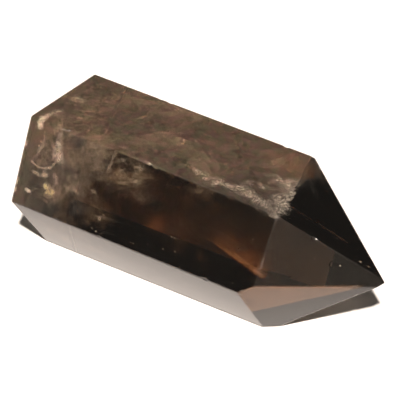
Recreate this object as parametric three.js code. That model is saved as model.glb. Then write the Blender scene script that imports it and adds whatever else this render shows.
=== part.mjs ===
// A polished smoky quartz point, lying on one of its six prism faces.
// One natural crystal: a six-sided prism with a sawn base at -X and a six-faced point at +X.
// Millimetres, +Z up, origin at the bottom centre of the crystal's box.

import * as THREE from 'three';
import { ConvexGeometry } from 'three/addons/geometries/ConvexGeometry.js';

// Driving dimensions. Every surface of the crystal is a flat, so each one is given as a plane.
// turn: the way the flat looks, seen along the crystal, in degrees: 0 is -Y and 90 is up.
// lean: how far the flat's normal leans towards the tip, in degrees: 0 on a true prism face.
const TABLE_HEIGHT = 17.2; // the crystal's centre line above the face it rests on
const BASE_TO_TIP = 89.5;
const TIP = new THREE.Vector3(BASE_TO_TIP, -1.7, TABLE_HEIGHT - 0.7);

// Prism faces. reach: the distance from the centre line, measured at the base end.
const PRISM_FACES = [
  { turn: 90, lean: 2, reach: 17.1 }, // top, tapering towards the point
  { turn: 29.6, lean: 0.4, reach: 18.6 }, // upper front
  { turn: -32, lean: -0.7, reach: 19.2 }, // lower front
  { turn: -90, lean: 0, reach: TABLE_HEIGHT }, // underneath: the face it rests on
  { turn: -150, lean: 0.3, reach: 18.6 }, // lower back
  { turn: 148, lean: 0.5, reach: 19.1 }, // upper back
];

// Faces of the point, near quartz's own 38 degrees to the prism.
// past: how far beyond the tip the face's plane passes, as hand-cut faces never all meet there.
const POINT_FACES = [
  { turn: 97.8, lean: 32.2, past: 0 }, // top
  { turn: 28.2, lean: 37.5, past: 0 }, // upper front, the widest
  { turn: -30.5, lean: 33.2, past: 1.3 }, // lower front
  { turn: -89.5, lean: 35.5, past: 0.8 }, // underneath
  { turn: -150, lean: 37, past: 0.7 }, // lower back
  { turn: 150, lean: 36.4, past: 0 }, // upper back
];

// The sawn base is a few degrees off square.
const BASE_NORMAL = new THREE.Vector3(-1, 0.07, -0.09).normalize();
const BASE_START = new THREE.Vector3(1.3, 0, TABLE_HEIGHT);

const MERGE_DISTANCE = 0.25; // corners closer than this are one corner

function faceNormal({ turn, lean }) {
  const aroundAxis = THREE.MathUtils.degToRad(turn);
  const towardsTip = THREE.MathUtils.degToRad(lean);
  return new THREE.Vector3(
    Math.sin(towardsTip),
    -Math.cos(aroundAxis) * Math.cos(towardsTip),
    Math.sin(aroundAxis) * Math.cos(towardsTip),
  );
}

// All flats as planes whose normals point out of the stone.
function crystalPlanes() {
  const centre = new THREE.Vector3(0, 0, TABLE_HEIGHT);
  const planes = [new THREE.Plane().setFromNormalAndCoplanarPoint(BASE_NORMAL, BASE_START)];
  for (const face of PRISM_FACES) {
    const normal = faceNormal(face);
    const onFace = centre.clone().addScaledVector(normal, face.reach);
    planes.push(new THREE.Plane().setFromNormalAndCoplanarPoint(normal, onFace));
  }
  for (const face of POINT_FACES) {
    const normal = faceNormal(face);
    const onFace = TIP.clone().addScaledVector(normal, face.past);
    planes.push(new THREE.Plane().setFromNormalAndCoplanarPoint(normal, onFace));
  }
  return planes;
}

// The point shared by three planes, or null where two of them are parallel.
function meetingPoint(a, b, c) {
  const rows = new THREE.Matrix3().set(
    a.normal.x, a.normal.y, a.normal.z,
    b.normal.x, b.normal.y, b.normal.z,
    c.normal.x, c.normal.y, c.normal.z,
  );
  if (Math.abs(rows.determinant()) < 1e-6) return null;
  return new THREE.Vector3(-a.constant, -b.constant, -c.constant).applyMatrix3(rows.invert());
}

// The corners of the solid that all the planes enclose.
function crystalCorners(planes) {
  const corners = [];
  for (let i = 0; i < planes.length; i++) {
    for (let j = i + 1; j < planes.length; j++) {
      for (let k = j + 1; k < planes.length; k++) {
        const point = meetingPoint(planes[i], planes[j], planes[k]);
        if (!point) continue;
        const inside = planes.every((plane) => plane.distanceToPoint(point) < 1e-6);
        const isNew = corners.every((corner) => corner.distanceTo(point) > MERGE_DISTANCE);
        if (inside && isNew) corners.push(point);
      }
    }
  }
  return corners;
}

function smokyQuartzPoint() {
  const geometry = new ConvexGeometry(crystalCorners(crystalPlanes()));
  geometry.computeBoundingBox();
  const { min, max } = geometry.boundingBox;
  geometry.translate(-(min.x + max.x) / 2, -(min.y + max.y) / 2, -min.z);
  const smokyQuartz = new THREE.MeshStandardMaterial({ color: 0x4a3628, roughness: 0.08, metalness: 0 });
  const crystal = new THREE.Mesh(geometry, smokyQuartz);
  crystal.name = 'smoky_quartz_point';
  return crystal;
}

const group = new THREE.Group();
group.add(smokyQuartzPoint());

export default group;
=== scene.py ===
# %% [markdown]
# # A polished smoky quartz point
# A smoky quartz crystal that was ground and polished into a six-sided point, lying on one of its
# prism faces. It is one solid stone. What makes it look like stone and not like brown glass is
# inside: cloudy wisps, a silvery crack by the shoulder, bright flakes at the sawn end, amber glows
# and fine specks. The amber glows and a beige warmth under the point are painted light: sheets
# coloured where sunlight comes back out of the stone. The stone's outside comes from the CAD frame.
# Everything inside it is thin crumpled sheet, because real cracks and healed cracks are thin curved sheets
# too.

# %% Load the frame and keep its size
import math
import random

import bpy
from mathutils import Euler, Matrix, Vector, noise


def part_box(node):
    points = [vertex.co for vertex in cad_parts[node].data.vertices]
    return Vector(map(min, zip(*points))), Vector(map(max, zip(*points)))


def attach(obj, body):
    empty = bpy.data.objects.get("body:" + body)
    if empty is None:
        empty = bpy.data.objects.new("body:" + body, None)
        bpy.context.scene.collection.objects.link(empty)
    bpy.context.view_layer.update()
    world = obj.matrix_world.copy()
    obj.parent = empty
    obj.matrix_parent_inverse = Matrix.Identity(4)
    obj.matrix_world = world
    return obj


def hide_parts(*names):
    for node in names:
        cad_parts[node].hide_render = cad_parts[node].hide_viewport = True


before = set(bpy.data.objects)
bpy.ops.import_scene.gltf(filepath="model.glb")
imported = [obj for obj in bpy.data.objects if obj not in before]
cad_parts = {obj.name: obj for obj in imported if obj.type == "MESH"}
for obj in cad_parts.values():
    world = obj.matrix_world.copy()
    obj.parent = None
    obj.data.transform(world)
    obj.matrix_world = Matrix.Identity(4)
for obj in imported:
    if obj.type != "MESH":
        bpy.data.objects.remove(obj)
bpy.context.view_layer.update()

MM = 0.001
STONE = "smoky_quartz_point"
low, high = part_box(STONE)
length, width, height = high - low
middle = (low + high) / 2
print(f"the stone is {length / MM:.1f} x {width / MM:.1f} x {height / MM:.1f} mm")

# %% [markdown]
# ## Camera
# The camera looks down on the stone from its front right. It stands about seven stone lengths away and
# has a long lens, so that parallel edges stay nearly parallel. A short lens close by would show the
# same stone with a swollen near end.

# %% Camera
def towards(azimuth, elevation):
    """The direction to something seen at these angles. Azimuth 0 is -Y and 90 is +X."""
    turn, lift = math.radians(azimuth), math.radians(elevation)
    return Vector((math.cos(lift) * math.sin(turn), -math.cos(lift) * math.cos(turn), math.sin(lift)))


def aim(thing, target, azimuth, elevation, distance):
    """Puts a camera or a lamp at that distance from the target, looking at it."""
    way = towards(azimuth, elevation)
    thing.location = target + distance * way
    thing.rotation_euler = (-way).to_track_quat("-Z", "Y").to_euler()


CAMERA_TARGET = middle + Vector((-7.0, 2.2, -0.3)) * MM
CAMERA_DISTANCE = 0.66
bpy.ops.object.select_all(action="DESELECT")
bpy.ops.object.camera_add()
camera = bpy.context.object
camera.name = "camera"
camera.data.sensor_width = 36
camera.data.lens = 252.6
aim(camera, CAMERA_TARGET, azimuth=33.28, elevation=34.10, distance=CAMERA_DISTANCE)
bpy.context.scene.camera = camera
print(f"camera {(camera.location - middle).length / length:.1f} stone lengths away")

# %% [markdown]
# ## Light
# One small round softbox stands for strong sun on the camera's side. It is far away, so that the table
# is evenly bright right to its edge, and its angle across is what sets how sharp the shadow is.
# Sunlight that has bent through the stone's surface is too rare for the renderer to find by chance,
# and would come out as bright dots. So the lamp isn't seen through the stone, and a broad glow in the
# sky around the sun does its work for light that leaves the sheets or the table through the stone.

# %% Sun softbox
SUN_AZIMUTH, SUN_ELEVATION = 32, 48.5
LAMP_DISTANCE = 12.0
LAMP_ANGLE = 0.05
LAMP_POWER = 26.4
bpy.ops.object.light_add(type="AREA")
sun = bpy.context.object
sun.name = "sun_softbox"
sun.data.shape = "DISK"
sun.data.size = LAMP_ANGLE * LAMP_DISTANCE
sun.data.energy = LAMP_POWER * LAMP_DISTANCE**2
sun.data.color = (1.0, 0.88, 0.80)
sun.visible_transmission = False
aim(sun, middle, SUN_AZIMUTH, SUN_ELEVATION, LAMP_DISTANCE)
print("lamp disc", sun.data.size, "m across,", round(sun.data.energy), "W")

# %% One function for colours and one for nodes
def srgb(code):
    """A linear colour, with alpha, from an sRGB hex code such as "#8a6a4c"."""
    parts = [int(code[i : i + 2], 16) / 255 for i in (1, 3, 5)]
    return (*[p / 12.92 if p <= 0.04045 else ((p + 0.055) / 1.055) ** 2.4 for p in parts], 1.0)


def add_node(tree, kind, inputs=None, **settings):
    """Adds a node, sets its settings, and fills its inputs with plain values or links."""
    node = tree.nodes.new(kind)
    for name, value in settings.items():
        setattr(node, name, value)
    for name, value in (inputs or {}).items():
        if isinstance(value, bpy.types.NodeSocket):
            tree.links.new(value, node.inputs[name])
        else:
            node.inputs[name].default_value = value
    return node


def new_material(name):
    """An empty node material with only its output. Returns the material, its tree and the output."""
    material = bpy.data.materials.new(name)
    material.use_nodes = True
    material.node_tree.nodes.clear()
    return material, material.node_tree, material.node_tree.nodes.new("ShaderNodeOutputMaterial")


# %% Sky
# SKY_LEVEL is the dim even sky that the polish mirrors. GLOW_LEVEL is the glow's brightness at the
# sun, and a higher GLOW_POWER makes it narrower. The camera itself sees a plain white studio.
SKY_LEVEL = 0.042
GLOW_LEVEL = 5.3
GLOW_POWER = 6.0
world = bpy.data.worlds.new("studio")
bpy.context.scene.world = world
world.use_nodes = True
tree = world.node_tree
tree.nodes.clear()
way = add_node(tree, "ShaderNodeTexCoord").outputs["Generated"]
facing = add_node(tree, "ShaderNodeVectorMath", {0: way, 1: tuple(towards(SUN_AZIMUTH, SUN_ELEVATION))},
                  operation="DOT_PRODUCT")
lobe = add_node(tree, "ShaderNodeMath", {0: facing.outputs["Value"], 1: 0.0}, operation="MAXIMUM")
lobe = add_node(tree, "ShaderNodeMath", {0: lobe.outputs[0], 1: GLOW_POWER}, operation="POWER")
path = add_node(tree, "ShaderNodeLightPath")
inside = add_node(tree, "ShaderNodeMath", {0: path.outputs["Diffuse Depth"], 1: 0.5},
                  operation="GREATER_THAN")
inside = add_node(tree, "ShaderNodeMath", {0: inside.outputs[0], 1: path.outputs["Is Transmission Ray"]},
                  operation="MULTIPLY")
glow = add_node(tree, "ShaderNodeMath", {0: lobe.outputs[0], 1: inside.outputs[0]}, operation="MULTIPLY")
level = add_node(tree, "ShaderNodeMath", {0: glow.outputs[0], 1: GLOW_LEVEL, 2: SKY_LEVEL},
                 operation="MULTIPLY_ADD")
level = add_node(tree, "ShaderNodeMath", {0: level.outputs[0], 1: path.outputs["Is Camera Ray"]},
                 operation="ADD")
sky = add_node(tree, "ShaderNodeBackground", {"Strength": level.outputs[0]})
sky.inputs["Color"].default_value = srgb("#ffffff")
tree.links.new(sky.outputs[0], add_node(tree, "ShaderNodeOutputWorld").inputs["Surface"])
bpy.context.scene.view_settings.view_transform = "Standard"
bpy.context.scene.cycles.transparent_max_bounces = 48
print("sky level", SKY_LEVEL, "and glow level", GLOW_LEVEL)

# %% [markdown]
# ## Table
# A round matt white table, lit so brightly that its edge melts into the white studio. It lies a hair
# below the stone, because two faces at the same height flicker.

# %% Table
# The paint has no gloss at all, so the eye sees only the shadow and the light that comes through.
TABLE_RADIUS = 1.5
TABLE_GAP = 0.2 * MM
bpy.ops.object.select_all(action="DESELECT")
bpy.ops.mesh.primitive_circle_add(vertices=96, radius=TABLE_RADIUS, fill_type="NGON",
                                  location=(0, 0, low.z - TABLE_GAP))
table = bpy.context.object
table.name = "table"
white_paint, tree, output = new_material("matt white table")
surface = add_node(tree, "ShaderNodeBsdfPrincipled", {"Roughness": 0.9, "Specular IOR Level": 0.0})
surface.inputs["Base Color"].default_value = srgb("#e8e7e5")
tree.links.new(surface.outputs[0], output.inputs["Surface"])
table.data.materials.append(white_paint)
print("table", 2 * TABLE_RADIUS, "m across")

# %% [markdown]
# ## The polished stone
# A lapidary grinds each face flat on a wheel. The worn edges are small rounded bands, wider round the
# sawn base, and here and there a shell-shaped chip has sprung off. The stone could be cut from a
# six-sided cylinder with one bisect per face, but the CAD stone already has every face in its place,
# so a merged copy of it is the start. Its edges are bevelled and small rippled balls bite the chips.

# %% Copy the stone and merge it
def activate(thing):
    """Leaves only this thing selected, and makes it the active one."""
    bpy.ops.object.select_all(action="DESELECT")
    thing.select_set(True)
    bpy.context.view_layer.objects.active = thing


stone = bpy.data.objects.new("smoky_quartz_crystal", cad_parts[STONE].data.copy())
bpy.context.collection.objects.link(stone)
activate(stone)
bpy.ops.object.mode_set(mode="EDIT")
bpy.ops.mesh.select_all(action="SELECT")
bpy.ops.mesh.remove_doubles(threshold=0.01 * MM)
bpy.ops.mesh.dissolve_limited(angle_limit=math.radians(0.3))
bpy.ops.object.mode_set(mode="OBJECT")
FACETS = [(face.center.copy(), face.normal.copy()) for face in stone.data.polygons]
EDGES = sorted(
    (tuple(sorted((tuple(stone.data.vertices[a].co), tuple(stone.data.vertices[b].co))))
     for a, b in (edge.vertices for edge in stone.data.edges)),
)
print(len(FACETS), "facets and", len(EDGES), "edges")

# %% [markdown]
# ## Facets with names
# The cracks lie just under certain facets. Each facet is found by the way that it faces, so that a
# crack can be placed by two numbers along its facet and a depth under it.

# %% Name the facets that the cracks lie under
def facet_facing(x, y, z):
    """The facet that faces most nearly that way, as its centre and its outward normal."""
    way = Vector((x, y, z)).normalized()
    return max(FACETS, key=lambda facet: facet[1].dot(way))


TOP_FACE = facet_facing(0, 0, 1)
FRONT_FACE = facet_facing(0, -0.87, 0.5)
TOP_POINT_FACE = facet_facing(0.53, 0.11, 0.84)
FRONT_POINT_FACE = facet_facing(0.61, -0.70, 0.38)
LOWER_POINT_FACE = facet_facing(0.55, -0.72, -0.42)
for title, face in (("top", TOP_FACE), ("front", FRONT_FACE), ("top of point", TOP_POINT_FACE),
                    ("front of point", FRONT_POINT_FACE), ("under the point", LOWER_POINT_FACE)):
    print(title, "faces", [round(v, 2) for v in face[1]])

# %% Round the worn edges
WORN_EDGE = 0.22 * MM
BASE_EDGE = 0.5 * MM
BASE_ZONE = low.x + 5 * MM
share = stone.data.attributes.new("bevel_weight_edge", "FLOAT", "EDGE")
for edge in stone.data.edges:
    at_base = max(stone.data.vertices[i].co.x for i in edge.vertices) < BASE_ZONE
    share.data[edge.index].value = 1.0 if at_base else WORN_EDGE / BASE_EDGE
rounding = stone.modifiers.new("worn edges", "BEVEL")
rounding.limit_method = "WEIGHT"
rounding.width = BASE_EDGE
rounding.segments = 2
bpy.ops.object.modifier_apply(modifier=rounding.name)
print(len(stone.data.polygons), "faces with worn edges")

# %% Bite shell-shaped chips out of the edges
def add_biter(place, radius):
    """A rippled ball, as quartz breaks in shallow shells with rings in them."""
    bpy.ops.object.select_all(action="DESELECT")
    bpy.ops.mesh.primitive_ico_sphere_add(subdivisions=3, radius=radius, location=place)
    ball = bpy.context.object
    for vertex in ball.data.vertices:
        way = vertex.co.normalized()
        lump = noise.noise(1.7 * way + place / MM)
        vertex.co = way * radius * (1 + 0.02 * math.sin(9 * way.z + 5 * lump) + 0.08 * lump)
    return ball


# A chip's ball stands outside the edge, on the far side from the stone's axis, and only dips into it.
CHIP_SPACING = 22 * MM
AXIS_START = low.x + 15 * MM
AXIS_END = high.x - 22 * MM
chip_rng = random.Random(3)
biters = []
for start, end in EDGES:
    start, end = Vector(start), Vector(end)
    mid = (start + end) / 2
    heart = Vector((min(max(mid.x, AXIS_START), AXIS_END), middle.y, middle.z))
    outward = (mid - heart).normalized()
    for i in range(round((end - start).length / CHIP_SPACING + chip_rng.uniform(-0.2, 0.9))):
        place = start.lerp(end, chip_rng.uniform(0.03, 0.97))
        radius = chip_rng.uniform(0.7, 2.2) * MM
        bite = chip_rng.uniform(0.06, 0.16) * radius + 0.10 * MM
        biters.append(add_biter(place + (radius - bite) * outward, radius))
for biter in biters:
    activate(stone)
    cut = stone.modifiers.new("chip", "BOOLEAN")
    cut.operation = "DIFFERENCE"
    cut.solver = "EXACT"
    cut.object = biter
    bpy.ops.object.modifier_apply(modifier=cut.name)
    bpy.data.objects.remove(biter)
print(len(biters), "chips")

# %% Keep the facets flat and mark what is worn
# A real facet is flat to a hair, so its shading is flat. The small faces are worn edges and chips, and
# their "worn" value makes them satin. The sawn end's edge is the most worn.
FACET_AREA = 14 * MM * MM
BASE_WEAR = 2.5
bpy.ops.object.shade_smooth_by_angle(angle=math.radians(35))
worn = stone.data.attributes.new("worn", "FLOAT", "FACE")
for face in stone.data.polygons:
    if face.area > FACET_AREA:
        face.use_smooth = False
    else:
        worn.data[face.index].value = BASE_WEAR if face.center.x < BASE_ZONE else 1.0
print(len(stone.data.polygons), "faces with chips")

# %% [markdown]
# ## Smoky quartz
# Quartz bends light by 1.544 and takes a fine polish. Its smoke is an even brown through the whole
# stone, so it belongs to the volume: the further light goes inside, the darker and redder it comes
# back. Milky parts scatter light just under the polish, so there a little less goes through and a warm
# white shows. The sawn base and the worn edges are satin. All of this could be a mix of shaders, but
# one Principled shader with a film that changes from place to place can also be exported.

# %% Film strengths, as the share of light that they stop
MILK_COVER = 0.068
POINT_FILM = 0.010
BLOOM = 0.004
WORN_FILM = 0.012
SAWN_FILM = 0.06


def pattern_scale(size):
    """The scale of a noise whose lumps are about that many mm across."""
    return 1 / (size * MM)


quartz, tree, quartz_output = new_material("smoky quartz")
place = add_node(tree, "ShaderNodeTexCoord").outputs["Object"]
geometry = add_node(tree, "ShaderNodeNewGeometry")
normal = geometry.outputs["Normal"]
worn_here = add_node(tree, "ShaderNodeAttribute", attribute_name="worn").outputs["Fac"]

# %% Milk
# The milk is made of cracks finer than the eye can see. It is thickest at the sawn end, reaches further
# along the top than along the sides, and ends in a mottled border.
MILK_UP = -86 * MM
MILK_EDGE = -50 * MM
MILK_FULL = -78 * MM
MOTTLE_REACH = 40 * MM
along = add_node(tree, "ShaderNodeVectorMath", {0: place, 1: (1.0, -0.75, 0.0)}, operation="DOT_PRODUCT")
upward = add_node(tree, "ShaderNodeVectorMath", {0: normal, 1: (0.0, 0.0, MILK_UP)}, operation="DOT_PRODUCT")
mottle = add_node(tree, "ShaderNodeTexNoise", {"Vector": place, "Scale": pattern_scale(9), "Detail": 6.0,
                                               "Roughness": 0.6, "Distortion": 0.8})
clear = add_node(tree, "ShaderNodeMath", {0: mottle.outputs["Fac"], 1: MOTTLE_REACH, 2: -0.5 * MOTTLE_REACH},
                 operation="MULTIPLY_ADD")
clear = add_node(tree, "ShaderNodeMath", {0: clear.outputs[0], 1: along.outputs["Value"]}, operation="ADD")
clear = add_node(tree, "ShaderNodeMath", {0: clear.outputs[0], 1: upward.outputs["Value"]}, operation="ADD")
cloudy = add_node(tree, "ShaderNodeMapRange", {"Value": clear.outputs[0], "From Min": MILK_EDGE,
                                               "From Max": MILK_FULL},
                  interpolation_type="SMOOTHSTEP")

# %% Satin film
# The front of the point was polished less finely, the base was only sawn, and the edges are worn.
# The grain is really a few hundredths of a mm, and is drawn 1.5 mm wide so that it shows. The film
# lies on the outside, so light that is already inside the stone doesn't meet it.
point = add_node(tree, "ShaderNodeVectorMath", {0: normal, 1: tuple(FRONT_POINT_FACE[1])},
                 operation="DOT_PRODUCT")
point = add_node(tree, "ShaderNodeMapRange", {"Value": point.outputs["Value"], "From Min": 0.985,
                                              "From Max": 0.998, "To Max": POINT_FILM})
base = add_node(tree, "ShaderNodeVectorMath", {0: normal, 1: (-1.0, 0.0, 0.0)}, operation="DOT_PRODUCT")
base = add_node(tree, "ShaderNodeMapRange", {"Value": base.outputs["Value"], "From Min": 0.9,
                                             "From Max": 0.97})
film = add_node(tree, "ShaderNodeMath", {0: cloudy.outputs[0], 1: MILK_COVER, 2: point.outputs[0]},
                operation="MULTIPLY_ADD")
film = add_node(tree, "ShaderNodeMath", {0: base.outputs[0], 1: SAWN_FILM, 2: film.outputs[0]},
                operation="MULTIPLY_ADD")
film = add_node(tree, "ShaderNodeMath", {0: worn_here, 1: WORN_FILM, 2: film.outputs[0]},
                operation="MULTIPLY_ADD")
outside = add_node(tree, "ShaderNodeMath", {0: 1.0, 1: geometry.outputs["Backfacing"]}, operation="SUBTRACT")
film = add_node(tree, "ShaderNodeMath", {0: film.outputs[0], 1: outside.outputs[0]}, operation="MULTIPLY")
grain = add_node(tree, "ShaderNodeTexNoise", {"Vector": place, "Scale": pattern_scale(1.5), "Detail": 4.0,
                                              "Roughness": 0.6, "Distortion": 1.0})
grain = add_node(tree, "ShaderNodeMapRange", {"Value": grain.outputs["Fac"], "From Min": 0.3,
                                              "From Max": 0.7, "To Min": 0.5, "To Max": 1.5})
through = add_node(tree, "ShaderNodeMath", {0: film.outputs[0], 1: grain.outputs[0]}, operation="MULTIPLY")
through = add_node(tree, "ShaderNodeMath", {0: 1.0 - BLOOM, 1: through.outputs[0]}, operation="SUBTRACT")

# %% Colour
# The milk is warm, a little greener here and a little pinker there. Clear quartz is nearly white.
patch = add_node(tree, "ShaderNodeTexNoise", {"Vector": place, "Scale": pattern_scale(1.8), "Detail": 3.0})
patch = add_node(tree, "ShaderNodeMapRange", {"Value": patch.outputs["Fac"], "From Min": 0.4,
                                              "From Max": 0.6})
milk = add_node(tree, "ShaderNodeMix", {0: patch.outputs[0]}, data_type="RGBA")
milk.inputs[6].default_value = srgb("#c4ba98")
milk.inputs[7].default_value = srgb("#dcb4a4")
tint = add_node(tree, "ShaderNodeMix", {0: cloudy.outputs[0], 7: milk.outputs[2]}, data_type="RGBA")
tint.inputs[6].default_value = srgb("#e6dfd2")

# %% Gloss
# The facets have a fine polish. The base is satin from the saw, and worn edges are between the two.
POLISH = 0.03
SAWN_ROUGHNESS = 0.30
WORN_ROUGHNESS = 0.10
gloss = add_node(tree, "ShaderNodeMath", {0: base.outputs[0], 1: SAWN_ROUGHNESS, 2: POLISH},
                 operation="MULTIPLY_ADD")
gloss = add_node(tree, "ShaderNodeMath", {0: worn_here, 1: WORN_ROUGHNESS, 2: gloss.outputs[0]},
                 operation="MULTIPLY_ADD")

# %% Relief
# In metres: each face is pillowed a little by the wheel, faint waves are 12 mm long, and the saw left
# marks on the base. Real saw marks are finer, and are drawn 1.6 mm apart so that they show.
PILLOW = 3.0
WAVE_HEIGHT = 0.03 * MM
radius = add_node(tree, "ShaderNodeVectorMath", {0: place, 1: (0.0, *middle.yz)}, operation="SUBTRACT")
radius = add_node(tree, "ShaderNodeVectorMath", {0: radius.outputs[0], 1: (0.0, 1.0, 1.0)},
                  operation="MULTIPLY")
pillow = add_node(tree, "ShaderNodeVectorMath", {0: radius.outputs[0], 1: radius.outputs[0]},
                  operation="DOT_PRODUCT")
waves = add_node(tree, "ShaderNodeTexNoise", {"Vector": place, "Scale": pattern_scale(12), "Detail": 1.0})
waves = add_node(tree, "ShaderNodeMath", {0: waves.outputs["Fac"], 1: WAVE_HEIGHT}, operation="MULTIPLY")
marks = add_node(tree, "ShaderNodeTexWave", {"Vector": place, "Scale": 0.3 * pattern_scale(1.6),
                                             "Distortion": 2.0, "Detail": 2.0}, bands_direction="Z")
marks = add_node(tree, "ShaderNodeMath", {0: marks.outputs["Fac"], 1: base.outputs[0]}, operation="MULTIPLY")
relief = add_node(tree, "ShaderNodeMath", {0: marks.outputs[0], 1: WAVE_HEIGHT, 2: waves.outputs[0]},
                  operation="MULTIPLY_ADD")
relief = add_node(tree, "ShaderNodeMath", {0: pillow.outputs["Value"], 1: -PILLOW, 2: relief.outputs[0]},
                  operation="MULTIPLY_ADD")
relief = add_node(tree, "ShaderNodeBump", {"Height": relief.outputs[0], "Strength": 1.0, "Distance": 1.0})

# %% Put the quartz together
# SMOKE_COLOUR is the share of red, green and blue that the smoke spares, so it isn't a surface colour:
# blue goes first, then green, then red, and thick stone looks dark brown.
QUARTZ_IOR = 1.544
SMOKE_DENSITY = 100.0
SMOKE_COLOUR = (0.40, 0.30, 0.21, 1.0)
surface = add_node(tree, "ShaderNodeBsdfPrincipled", {"IOR": QUARTZ_IOR, "Roughness": gloss.outputs[0],
                                                      "Transmission Weight": through.outputs[0],
                                                      "Base Color": tint.outputs[2],
                                                      "Normal": relief.outputs["Normal"]})
smoke_volume = add_node(tree, "ShaderNodeVolumeAbsorption", {"Density": SMOKE_DENSITY})
smoke_volume.inputs["Color"].default_value = SMOKE_COLOUR
tree.links.new(surface.outputs[0], quartz_output.inputs["Surface"])
tree.links.new(smoke_volume.outputs[0], quartz_output.inputs["Volume"])
stone.data.materials.clear()
stone.data.materials.append(quartz)
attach(stone, "root")
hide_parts(STONE)
print("quartz with", len(tree.nodes), "nodes")

# %% [markdown]
# ## Thin sheets inside the stone
# A crack is a thin curved surface, and so is a crack that healed. It could be a cloud in the volume,
# but that is slow to render and can't be exported. So each is a small grid, crumpled by cloud textures
# and trimmed to lie inside the stone, and its material lets only ragged parts of it show.

# %% Make one crumpled sheet
def crumple(sheet, size, strength):
    """Pushes a sheet in and out by a cloud pattern of that size and strength, in mm."""
    cloud = bpy.data.textures.new("cloud", "CLOUDS")
    cloud.noise_scale = size * MM
    cloud.noise_depth = 3
    push = sheet.modifiers.new("crumple", "DISPLACE")
    push.texture = cloud
    push.texture_coords = "GLOBAL"
    push.strength = strength * MM
    push.mid_level = 0.5
    bpy.ops.object.modifier_apply(modifier=push.name)


def trim_inside(sheet, depth):
    """Cuts off what comes nearer to the stone's surface than that many mm."""
    bpy.ops.object.mode_set(mode="EDIT")
    for point, outward in FACETS:
        bpy.ops.mesh.select_all(action="SELECT")
        bpy.ops.mesh.bisect(plane_co=point - depth * MM * outward, plane_no=outward, clear_outer=True)
    bpy.ops.object.mode_set(mode="OBJECT")


def add_sheet(place, turn, wide, tall, cells, crumples, depth):
    """A grid of that many mm at a place, crumpled by each (size, strength) and then trimmed."""
    bpy.ops.object.select_all(action="DESELECT")
    bpy.ops.mesh.primitive_grid_add(x_subdivisions=cells, y_subdivisions=cells, size=1)
    sheet = bpy.context.object
    sheet.data.transform(Matrix.LocRotScale(place, turn, Vector((wide * MM, tall * MM, 1))))
    for size, strength in crumples:
        crumple(sheet, size, strength)
    trim_inside(sheet, depth)
    return sheet


# %% Lay a sheet under a facet
# CRUSHED is how a crack crumples, as sizes and strengths in mm. SKIN is the clear stone over it.
CRUSHED = [(1.2, 0.8), (0.45, 0.3)]
SKIN = 0.15


def spot(face, x, side, depth):
    """A point inside the stone, in metres, that many mm under a facet. side is y in mm under a
    facet that faces mostly up, and z in mm under one that faces mostly forward."""
    centre, outward = face
    unknown = 2 if abs(outward.z) > abs(outward.y) else 1
    point = Vector((x, 0, 0)) * MM
    point[3 - unknown] = side * MM
    point[unknown] -= (point - centre).dot(outward) / outward[unknown]
    return point - depth * MM * outward


def lay_sheet(face, x, side, wide, tall, turn=0.0, lean=0.0, depth=0.7, cells=14, crumples=CRUSHED):
    """A crumpled sheet under a facet. It is wide along the stone until it is turned in the facet's
    plane, and it leans about its own wide side. Sizes are in mm and angles in degrees."""
    outward = face[1]
    along = (Vector((1, 0, 0)) - outward.x * outward).normalized()
    flat = Matrix((along, outward.cross(along), outward)).transposed().to_quaternion()
    leaned = Euler((math.radians(lean), 0, math.radians(turn))).to_quaternion()
    return add_sheet(spot(face, x, side, depth), flat @ leaned, wide, tall, cells, crumples, SKIN)


# %% Join sheets into one piece
def finish_sheets(name, sheets, material):
    """Joins sheets into one named piece with that finish, riding on the stone's body."""
    activate(sheets[0])
    for sheet in sheets:
        sheet.select_set(True)
    bpy.ops.object.join()
    piece = bpy.context.object
    piece.name = name
    piece.data.materials.append(material)
    bpy.ops.object.shade_smooth()
    print(name, len(piece.data.polygons), "faces")
    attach(piece, "root")
    return piece


# %% [markdown]
# ## Two finishes for the sheets
# A healed crack is a film of tiny bubbles, soft and without an edge, so its material fades towards the
# sheet's rim. An open crack holds air and crushed stone, so it glitters and ends in a torn edge.

# %% Wisp material: soft, like smoke
# Real bubbles are far too fine to show, so the grain is drawn as coarse as the clumps that they make.
def wisp_material(name, colour, cover, low_edge, high_edge, grain):
    """Shows where a noise with lumps of grain mm is high. cover is the most that it hides."""
    material, tree, output = new_material(name)
    coords = add_node(tree, "ShaderNodeTexCoord")
    away = add_node(tree, "ShaderNodeVectorMath", {0: coords.outputs["UV"], 1: (0.5, 0.5, 0.0)},
                    operation="DISTANCE")
    rim = add_node(tree, "ShaderNodeMapRange", {"Value": away.outputs["Value"], "From Min": 0.5,
                                                "From Max": 0.1},
                   interpolation_type="SMOOTHSTEP")
    wisp = add_node(tree, "ShaderNodeTexNoise", {"Vector": coords.outputs["Object"], "Detail": 8.0,
                                                 "Scale": pattern_scale(grain), "Roughness": 0.62,
                                                 "Distortion": 0.6})
    dense = add_node(tree, "ShaderNodeMapRange", {"Value": wisp.outputs["Fac"], "From Min": low_edge,
                                                  "From Max": high_edge, "To Max": cover})
    alpha = add_node(tree, "ShaderNodeMath", {0: rim.outputs[0], 1: dense.outputs[0]}, operation="MULTIPLY")
    surface = add_node(tree, "ShaderNodeBsdfPrincipled", {"Roughness": 0.7, "Alpha": alpha.outputs[0],
                                                          "Specular IOR Level": 0.2})
    surface.inputs["Base Color"].default_value = srgb(colour)
    tree.links.new(surface.outputs[0], output.inputs["Surface"])
    return material


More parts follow.
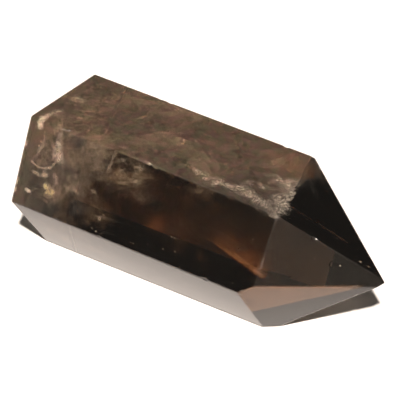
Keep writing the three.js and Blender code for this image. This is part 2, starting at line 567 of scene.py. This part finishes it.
# %% Crack material: torn and glittering
# Crushed quartz is a fine sugar. Its grains are drawn a few times coarser than real ones, to show.
def crack_material(name, bright, dull, cover, grain, tear=1.4):
    """Crushed stone in two shades, with grains of that many mm. A higher tear leaves less of it."""
    material, tree, output = new_material(name)
    coords = add_node(tree, "ShaderNodeTexCoord")
    place = coords.outputs["Object"]
    away = add_node(tree, "ShaderNodeVectorMath", {0: coords.outputs["UV"], 1: (0.5, 0.5, 0.0)},
                    operation="DISTANCE")
    ragged = add_node(tree, "ShaderNodeTexNoise", {"Vector": place, "Scale": pattern_scale(4.6 * grain),
                                                   "Detail": 5.0, "Roughness": 0.7, "Distortion": 1.5})
    crushed = add_node(tree, "ShaderNodeTexNoise", {"Vector": place, "Scale": pattern_scale(grain),
                                                    "Detail": 6.0, "Roughness": 0.8, "Distortion": 0.8})
    reach = add_node(tree, "ShaderNodeMath", {0: ragged.outputs["Fac"], 1: tear, 2: away.outputs["Value"]},
                     operation="MULTIPLY_ADD")
    reach = add_node(tree, "ShaderNodeMath", {0: crushed.outputs["Fac"], 1: reach.outputs[0]},
                     operation="ADD")
    torn_away = 0.5 * tear + 0.96
    solid = 0.5 * tear + 0.45
    alpha = add_node(tree, "ShaderNodeMapRange", {"Value": reach.outputs[0], "From Min": torn_away,
                                                  "From Max": solid, "To Max": cover})
    grit = add_node(tree, "ShaderNodeTexNoise", {"Vector": place, "Scale": pattern_scale(0.6 * grain),
                                                 "Detail": 2.0})
    grit = add_node(tree, "ShaderNodeMapRange", {"Value": grit.outputs["Fac"], "From Min": 0.42,
                                                 "From Max": 0.62})
    shade = add_node(tree, "ShaderNodeMix", {0: grit.outputs[0]}, data_type="RGBA")
    shade.inputs[6].default_value = srgb(dull)
    shade.inputs[7].default_value = srgb(bright)
    surface = add_node(tree, "ShaderNodeBsdfPrincipled", {"Roughness": 0.4, "Alpha": alpha.outputs[0],
                                                          "Base Color": shade.outputs[2]})
    tree.links.new(surface.outputs[0], output.inputs["Surface"])
    return material


# %% [markdown]
# ## Cloudy wisps
# Cracks that healed while the crystal grew leave curved films of tiny bubbles, which give the stone its
# smoky clouds. They fill the sawn end and the top, and leave the lower front half clear, so a random
# place is kept only if it is on the cloudy side. They lie nearly level, as the growth layers did.

# %% Scatter the wisps
WISPS = 190
rng = random.Random(7)
wisps = []
while len(wisps) < WISPS:
    place = Vector((rng.uniform(-0.48, 0.36) * length, rng.uniform(-0.44, 0.46) * width,
                    rng.uniform(0.12, 0.95) * height))
    clear_side = 0.5 * place.x - 0.75 * place.y - 2 * (place.z - middle.z)
    hazy_end = place.x < rng.uniform(-36, -14) * MM
    if place.x > 18 * MM or (not hazy_end and clear_side > rng.uniform(-26, -12) * MM):
        continue
    size = rng.uniform(7, 15)
    turn = Vector((rng.gauss(0, 0.6), rng.gauss(0, 0.6), 1)).to_track_quat("Z", "Y")
    wisps.append(add_sheet(place, turn, size, size * rng.uniform(0.5, 0.9), 12, [(8, 5), (2, 1.6)], 0.6))

# %% Finish of the wisps
# Films of tiny bubbles: a warm milky haze with no edge.
cloud = wisp_material("healed fracture cloud", "#dcc8ae", 0.50, 0.42, 0.74, 1.2)
finish_sheets("cloudy_wisps", wisps, cloud)

# %% [markdown]
# ## Crackle under the top front edge
# The clouds thin out towards the clear half in a belt of finer crackle. It is the same kind of healed
# crack with a finer grain, so it is faint wisps laid close under the front face, along its top edge.

# %% Lay the crackle
# Its finish is the same film, finer and fainter, which looks like crazing.
CRACKLES = 14
crackle = []
for i in range(CRACKLES):
    x, z = rng.uniform(-28, -11), rng.uniform(26, 32.5)
    wide, tall = rng.uniform(7, 12), rng.uniform(3, 5)
    crackle.append(lay_sheet(FRONT_FACE, x, z, wide, tall, rng.uniform(-20, 20), rng.uniform(-15, 15),
                             rng.uniform(0.8, 4), 12, [(4, 2), (1.5, 0.8)]))
crazing = wisp_material("fine crackle", "#d8c2a8", 0.24, 0.44, 0.70, 0.8)
finish_sheets("edge_crackle", crackle, crazing)

# %% [markdown]
# ## The silvery crack by the shoulder
# One crack runs just under the top face to the shoulder edge. It is full of air, so it shines white,
# and its crushed surface glitters. One long sheet would look like a ribbon, so it is laid as small
# overlapping sheets along its path, each leaning a little its own way.

# %% Lay the shoulder crack
CRACK_PATH = [  # x and y, size along and across, turn
    (-1.2, -7.6, 4.0, 2.2, -20), (1.5, -8.3, 4.6, 3.0, -16), (4.5, -8.7, 5.0, 3.4, -6),
    (7.8, -8.2, 5.0, 3.0, 8), (10.6, -7.6, 5.4, 3.4, 4), (13.2, -8.2, 5.0, 3.4, -18),
    (15.8, -9.2, 5.0, 3.6, -20), (18.6, -9.8, 5.0, 3.4, -8), (21.4, -9.8, 4.6, 3.4, 0),
    (22.0, -7.4, 4.2, 4.2, 30), (21.8, -4.6, 4.2, 4.6, 60), (20.6, -2.4, 4.0, 3.4, 40),
    (19.4, -6.0, 4.0, 4.0, 0), (20.8, -8.4, 4.2, 4.0, 0), (13.0, 1.0, 3.4, 2.0, -8),
    (15.2, 0.6, 4.4, 2.6, -6), (17.6, 0.3, 4.4, 3.4, 0), (18.6, 1.6, 4.0, 2.6, 10),
    (18.4, -0.8, 3.6, 2.4, 0), (11.0, -4.4, 3.0, 1.6, 10), (14.0, -4.2, 3.0, 1.6, -10),
]
OVERLAP_ALONG, OVERLAP_ACROSS = 1.1, 1.35
lean_rng = random.Random(11)
crack_sheets = [
    lay_sheet(TOP_FACE, x, y, OVERLAP_ALONG * wide, OVERLAP_ACROSS * tall, turn, lean_rng.uniform(-14, 20),
              lean_rng.uniform(0.6, 1.2))
    for x, y, wide, tall, turn in CRACK_PATH
]

# %% Finish of the shoulder crack
# Air behind the broken face: silvery white with grey grit, torn at the ends.
air_filled = crack_material("air-filled crack", "#f2ece4", "#968c80", 0.65, 0.7)
finish_sheets("shoulder_crack", crack_sheets, air_filled)

# %% [markdown]
# ## Flakes and cracks at the sawn end
# The saw and old knocks opened small cracks near the base. A flake seen flat flashes white. A crack
# seen on edge is a thin pale line, and a healed one is a soft feather. Each kind gets its own finish.
# Sheets that lie over each other get a different depth each, so that they don't flicker together.

# %% White flakes
# A fresh break seen flat: nearly solid white. Flakes higher up the edge are a little taller.
CORNER_FLAKES = [  # facet, x and side, size, turn
    (TOP_FACE, -42.5, -9.6, 2.6, 3.6, -12), (TOP_FACE, -42.6, -10.6, 2.6, 3.4, -8),
    (FRONT_FACE, -42.5, 33.2, 2.6, 3.2, 8), (FRONT_FACE, -41.0, 19.5, 2.2, 1.2, -12),
]
EDGE_FLAKES = [(-44.8, 28.4), (-44.4, 20.6), (-44.3, 18.9)]  # x and z
TALLNESS = 0.09
flakes = [lay_sheet(*row, lean=8, depth=0.5) for row in CORNER_FLAKES]
flakes += [lay_sheet(FRONT_FACE, x, z, 1.0, TALLNESS * z, turn=4, depth=0.3) for x, z in EDGE_FLAKES]
fresh_break = crack_material("white fracture flakes", "#fbf6ee", "#d8cebf", 0.95, 0.5, 0.9)
finish_sheets("base_flakes", flakes, fresh_break)

# %% Pale veinlets
# Cracks that healed to threads: dull cream lines.
VEINLETS = [  # facet, x and side, size, turn
    (FRONT_FACE, -40.2, 23.5, 3.4, 2.0, 0), (FRONT_FACE, -37.8, 23.8, 4.0, 2.0, 10),
    (FRONT_FACE, -21.4, 32.4, 1.1, 4.2, -8), (FRONT_FACE, -39.2, 20.4, 1.8, 0.9, 10),
    (FRONT_FACE, -21.7, 29.8, 1.0, 4.2, -10), (TOP_FACE, -20.2, -9.3, 1.8, 1.6, 0),
    (FRONT_FACE, -18.4, 31.9, 2.8, 1.1, -24), (FRONT_FACE, -18.3, 30.0, 2.4, 1.1, 30),
    (FRONT_FACE, -13.6, 31.5, 2.6, 1.0, -10), (TOP_FACE, -12.0, -11.0, 2.4, 1.2, 10),
    (FRONT_FACE, -24.0, 24.0, 2.2, 1.4, 30), (FRONT_FACE, -20.6, 19.2, 1.8, 1.2, 60),
    (TOP_POINT_FACE, 39.6, -2.2, 2.2, 0.9, 60), (TOP_POINT_FACE, 41.0, -1.4, 1.8, 0.8, 20),
]
veinlets = [lay_sheet(*row, lean=12, depth=0.9) for row in VEINLETS]
healed_thread = crack_material("pale healed veinlets", "#e6d8c8", "#a08c78", 0.6, 0.4)
finish_sheets("pale_veinlets", veinlets, healed_thread)

# %% Curved crack line
# A shell-shaped break seen on edge: a thin pale line.
HOOK = [(-41.6, 25.3, 2.6, 0.8, -22), (-40.2, 24.9, 3.0, 0.9, -8), (-38.6, 24.9, 3.0, 0.9, 4),
        (-37.2, 25.4, 2.8, 0.9, 22), (-36.2, 26.4, 2.6, 0.9, 56)]
hook = [lay_sheet(FRONT_FACE, *row, lean=4, depth=0.6 + 0.08 * i) for i, row in enumerate(HOOK)]
shell_edge = crack_material("curved crack line", "#f0e4da", "#bcae9e", 0.62, 0.5, 1.0)
finish_sheets("curved_crack", hook, shell_edge)

# %% Feathery cracks
# A fan of healed cracks: a soft white plume.
FEATHERS = [  # facet, x and side, size, turn
    (FRONT_FACE, -36.3, 31.0, 2.4, 7.5, 6), (FRONT_FACE, -35.8, 29.0, 3.6, 5.6, 0),
    (FRONT_FACE, -35.5, 28.0, 5.4, 3.4, -10), (FRONT_FACE, -35.4, 27.9, 4.4, 3.0, 0),
    (TOP_FACE, -41.6, -6.6, 4.0, 5.0, -30), (TOP_FACE, -40.6, 1.3, 6.0, 2.6, -12),
    (FRONT_FACE, -40.9, 28.8, 1.6, 7.0, -14), (FRONT_FACE, -34.8, 23.6, 2.2, 4.6, 24),
]
feathers = [lay_sheet(*row, lean=6, depth=0.5 + 0.12 * i) for i, row in enumerate(FEATHERS)]
plume = wisp_material("feathery crack", "#ecdfd6", 0.50, 0.34, 0.66, 1.0)
finish_sheets("feathery_cracks", feathers, plume)

# %% [markdown]
# ## Gold stain and painted amber glow
# Water that once filled the cracks left iron in them. By the base it shows as a spot of pale gold.
# Deeper in, sunlight that bounces off a far face comes back amber, and its glow has a straight border
# where that face ends. That glow is light, not rust, and the renderer can't put it where it is wanted,
# so it is painted: a faint amber sheet stands for each one, and a sheet that needs a straight border
# is cut along a line in its facet's plane.

# %% Gold stains
# Yellow iron rust in a healed crack: a warm pale gold spot.
STAINS = [(-36.5, 21.7, 2.6, 2.4, 0), (-36.4, 21.6, 2.2, 2.0, 10), (-35.4, 20.7, 4.6, 3.4, 20)]
stains = [lay_sheet(FRONT_FACE, *row, depth=0.5 + 0.25 * i) for i, row in enumerate(STAINS)]
gold_stain = wisp_material("gold iron stain", "#f2e4b4", 0.55, 0.30, 0.62, 0.9)
finish_sheets("iron_stains", stains, gold_stain)

# %% Amber veils
def keep_uphill(face, x, side, turn, depth):
    """Cuts the active sheet along a line in the facet's plane and keeps its upper part."""
    uphill = face[1].cross(Vector((1, 0, 0))).normalized()
    uphill.rotate(Matrix.Rotation(math.radians(turn), 3, face[1]))
    bpy.ops.object.mode_set(mode="EDIT")
    bpy.ops.mesh.select_all(action="SELECT")
    bpy.ops.mesh.bisect(plane_co=spot(face, x, side, depth), plane_no=uphill, clear_inner=True)
    bpy.ops.object.mode_set(mode="OBJECT")


# %% Lay the painted amber glow veils
# A dim amber glow, painted on sheets: painted light, not stain. The first sheet is cut to the straight
# border.
FRONT_BORDER = (17.5, 20.7)
FRONT_BORDER_TURN = -13.7
FRONT_BORDER_DEPTH = 1.2
veils = [lay_sheet(FRONT_FACE, *FRONT_BORDER, 26, 12, FRONT_BORDER_TURN, depth=FRONT_BORDER_DEPTH,
                   cells=20, crumples=[(6, 0.5)])]
keep_uphill(FRONT_FACE, *FRONT_BORDER, FRONT_BORDER_TURN, FRONT_BORDER_DEPTH)
veils += [
    lay_sheet(TOP_FACE, 14.0, 8.0, 18, 11, 0, 0, 1.5, 16, [(6, 1.0)]),
    lay_sheet(FRONT_FACE, -5.8, 22.2, 8, 6, 20, 0, 1.5, 16, [(3, 1.0)]),
]
# Painted light: the amber colour stands in for sunlight that comes back from a far face.
amber = wisp_material("painted amber glow veil", "#b0703f", 0.20, 0.25, 0.60, 2.5)
finish_sheets("painted_amber_glow_veils", veils, amber)

# %% Painted bright rim of the amber glow
# Painted highlight: the glow is brightest along its straight border, so light copper streaks are painted
# there.
RIM = [  # x and z, size, turn
    (14.5, 21.8, 9, 1.6, -13), (18.5, 20.9, 8, 1.8, -14),
    (21.6, 20.2, 6, 2.2, -20), (22.2, 20.0, 4, 1.6, -20),
]
rims = [lay_sheet(FRONT_FACE, *row, depth=0.8 + 0.12 * i) for i, row in enumerate(RIM)]
# Painted light: copper streaks painted where the amber glow is brightest.
copper = wisp_material("painted amber glow rim", "#d08c60", 0.22, 0.30, 0.60, 0.8)
finish_sheets("painted_amber_glow_rim", rims, copper)

# %% Painted warm light under the point
# Painted light: a thin beige warmth over the whole facet stands in for bright table light seen through
# the point. The sheets are far larger than the facet, so that the facet alone shapes them and they
# don't fade towards a rim.
POINT_BORDER = (29.5, 10.5)
POINT_BORDER_TURN = 3
OVERSIZE = 80
warm = []
for depth in (0.20, 0.35, 0.50):
    warm.append(lay_sheet(LOWER_POINT_FACE, *POINT_BORDER, OVERSIZE, OVERSIZE, POINT_BORDER_TURN,
                          depth=depth, cells=40, crumples=[(6, 0.2)]))
    keep_uphill(LOWER_POINT_FACE, *POINT_BORDER, POINT_BORDER_TURN, depth)
# Painted light: the beige stands in for bright table light seen through the facet.
beige = wisp_material("painted warm light veil", "#b98a66", 0.20, 0.10, 0.50, 3.0)
finish_sheets("painted_warm_light_veils", warm, beige)

# %% [markdown]
# ## Smoke veils
# The clear half isn't empty. Very faint brown veils drift through it, which keep it from looking like
# bottle glass. They are the same crumpled sheets, turned every way, with a tenth of the cover.

# %% Scatter the smoke veils
# A brown film so thin that it only breaks up the dark.
SMOKE_VEILS = 26
smoke_rng = random.Random(21)
smoke = []
for i in range(SMOKE_VEILS):
    x, z = smoke_rng.uniform(-24, 26), smoke_rng.uniform(18, 31)
    wide, tall = smoke_rng.uniform(6, 13), smoke_rng.uniform(3, 7)
    smoke.append(lay_sheet(FRONT_FACE, x, z, wide, tall, smoke_rng.uniform(-50, 50),
                           smoke_rng.uniform(-25, 25), smoke_rng.uniform(1, 9), 12,
                           [(4, 2.5), (1.2, 0.8)]))
thin_smoke = wisp_material("smoke-stained veil", "#a87c58", 0.10, 0.40, 0.66, 1.6)
finish_sheets("smoke_veils", smoke, thin_smoke)

# %% [markdown]
# ## Specks
# Tiny bright flecks of mineral float through the whole stone. Each is a seven-sided flake of a few
# faces, squashed and turned its own way, because there are many and they are only points of light.

# %% Scatter specks
SPECKS = 140
SPECK_SKIN = 0.3 * MM
speck_rng = random.Random(5)
specks = []
while len(specks) < SPECKS:
    face = speck_rng.choice([TOP_FACE, FRONT_FACE, FRONT_FACE, TOP_POINT_FACE, FRONT_POINT_FACE])
    x = speck_rng.uniform(-44, 44)
    side = speck_rng.uniform(-16, 14) if abs(face[1].z) > abs(face[1].y) else speck_rng.uniform(15, 33)
    place = spot(face, x, side, speck_rng.uniform(0.3, 5))
    if max((place - point).dot(outward) for point, outward in FACETS) > -SPECK_SKIN:
        continue
    bpy.ops.object.select_all(action="DESELECT")
    bpy.ops.mesh.primitive_circle_add(vertices=7, fill_type="TRIFAN",
                                      radius=speck_rng.uniform(0.06, 0.2) * MM)
    turn = Euler([speck_rng.uniform(0, 6.3) for axis in "xyz"]).to_quaternion()
    speck = bpy.context.object
    speck.data.transform(Matrix.LocRotScale(place, turn, Vector((1, speck_rng.uniform(0.3, 1), 1))))
    specks.append(speck)

# %% Speck material
# Pale mineral grains: a satin off-white, a little mottled, that catches the light as small points.
speck_finish, tree, output = new_material("pale mineral specks")
place = add_node(tree, "ShaderNodeTexCoord").outputs["Object"]
fleck = add_node(tree, "ShaderNodeTexNoise", {"Vector": place, "Scale": pattern_scale(3), "Detail": 2.0})
shade = add_node(tree, "ShaderNodeMix", {0: fleck.outputs["Fac"]}, data_type="RGBA")
shade.inputs[6].default_value = srgb("#b8a68e")
shade.inputs[7].default_value = srgb("#f4ecde")
surface = add_node(tree, "ShaderNodeBsdfPrincipled", {"Roughness": 0.4, "Base Color": shade.outputs[2]})
tree.links.new(surface.outputs[0], output.inputs["Surface"])
finish_sheets("mineral_specks", specks, speck_finish)

# %% [markdown]
# ## The end
# The visual model has to stay inside the CAD stone's box.

# %% Finish
print("finished")
